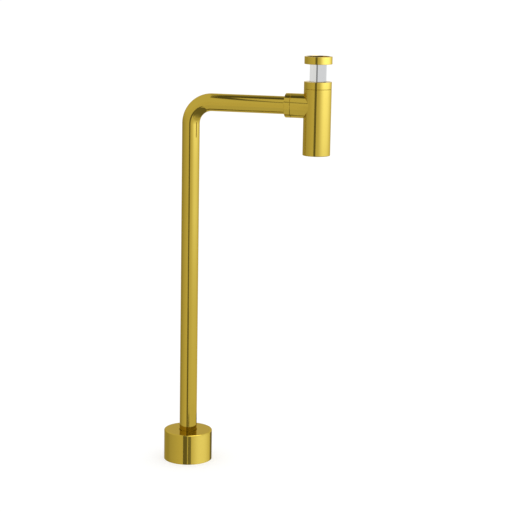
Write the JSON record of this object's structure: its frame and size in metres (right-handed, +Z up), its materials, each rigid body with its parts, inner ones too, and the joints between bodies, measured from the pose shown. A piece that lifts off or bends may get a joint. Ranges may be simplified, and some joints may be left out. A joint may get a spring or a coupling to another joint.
{
  "type": "sink trap",
  "caption": "Gold bottle trap for a basin: threaded inlet nut on a telescopic tube, cylindrical bottle with side branch, long bent outlet pipe and a deep sliding floor flange.",
  "frame": {"origin": "on the floor plane, on the axis of the upright outlet pipe, at the pipe's cut end", "axes": "+Z up along the upright pipe, +X along the arm towards the bottle, +Y to the back"},
  "size_m": [0.3025, 0.0894, 0.7584],
  "materials": {
    "polished_gold": "polished gold plating on brass",
    "polished_chrome": "polished chrome plating on brass",
    "black_rubber": "moulded nitrile rubber, matt",
    "white_nylon": "moulded natural nylon"
  },
  "bodies": {
    "outlet_pipe": {"outlet_pipe": "polished_gold"},
    "floor_flange": {"floor_flange": "polished_gold"},
    "outlet_seal": {"outlet_seal": "black_rubber"},
    "bottle": {"bottle_body": "polished_gold"},
    "outlet_slip_ring": {"outlet_slip_ring": "white_nylon"},
    "outlet_nut": {"outlet_nut": "polished_gold"},
    "cap_slip_ring": {"cap_slip_ring": "white_nylon"},
    "cap_nut": {"cap_nut": "polished_gold"},
    "cap_seal": {"cap_seal": "black_rubber"},
    "inlet_tube": {"inlet_tube": "polished_chrome"},
    "inlet_washer": {"inlet_washer": "black_rubber"},
    "inlet_nut": {"inlet_nut": "polished_gold"}
  },
  "joints": [
    {"name": "flange_lift", "type": "slide", "parent": "outlet_pipe", "child": "floor_flange", "axis": [0, 0, 1], "range_m": [0, 0.55]},
    {"name": "outlet_reach", "type": "slide", "parent": "outlet_pipe", "child": "outlet_seal", "axis": [1, 0, 0], "range_m": [-0.008, 0.012]},
    {"name": "outlet_swivel", "type": "hinge", "parent": "outlet_seal", "child": "bottle", "pos_m": [0.233, 0, 0.67], "axis": [1, 0, 0], "continuous": true},
    {"name": "outlet_nut_turn", "type": "hinge", "parent": "bottle", "child": "outlet_slip_ring", "pos_m": [0.233, 0, 0.67], "axis": [-1, 0, 0], "range_deg": [0, 990]},
    {"name": "outlet_nut_travel", "type": "slide", "parent": "outlet_slip_ring", "child": "outlet_nut", "axis": [-1, 0, 0], "range_m": [0, 0.0064]},
    {"name": "cap_nut_turn", "type": "hinge", "parent": "bottle", "child": "cap_slip_ring", "pos_m": [0.233, 0, 0.67], "axis": [0, 0, 1], "range_deg": [0, 1290]},
    {"name": "cap_nut_travel", "type": "slide", "parent": "cap_slip_ring", "child": "cap_nut", "axis": [0, 0, 1], "range_m": [0, 0.0083]},
    {"name": "inlet_swivel", "type": "hinge", "parent": "bottle", "child": "cap_seal", "pos_m": [0.233, 0, 0.67], "axis": [0, 0, 1], "continuous": true},
    {"name": "inlet_height", "type": "slide", "parent": "cap_seal", "child": "inlet_tube", "axis": [0, 0, 1], "range_m": [-0.008, 0.03]},
    {"name": "inlet_nut_spin", "type": "hinge", "parent": "inlet_tube", "child": "inlet_washer", "pos_m": [0.233, 0, 0.67], "axis": [0, 0, 1], "continuous": true},
    {"name": "inlet_nut_drop", "type": "slide", "parent": "inlet_washer", "child": "inlet_nut", "axis": [0, 0, -1], "range_m": [0, 0.013]}
  ],
  "couplings": [
    {"joint": "outlet_nut_travel", "follows": "outlet_nut_turn", "m_per_rad": 0.00036749},
    {"joint": "cap_nut_travel", "follows": "cap_nut_turn", "m_per_rad": 0.00036749}
  ]
}
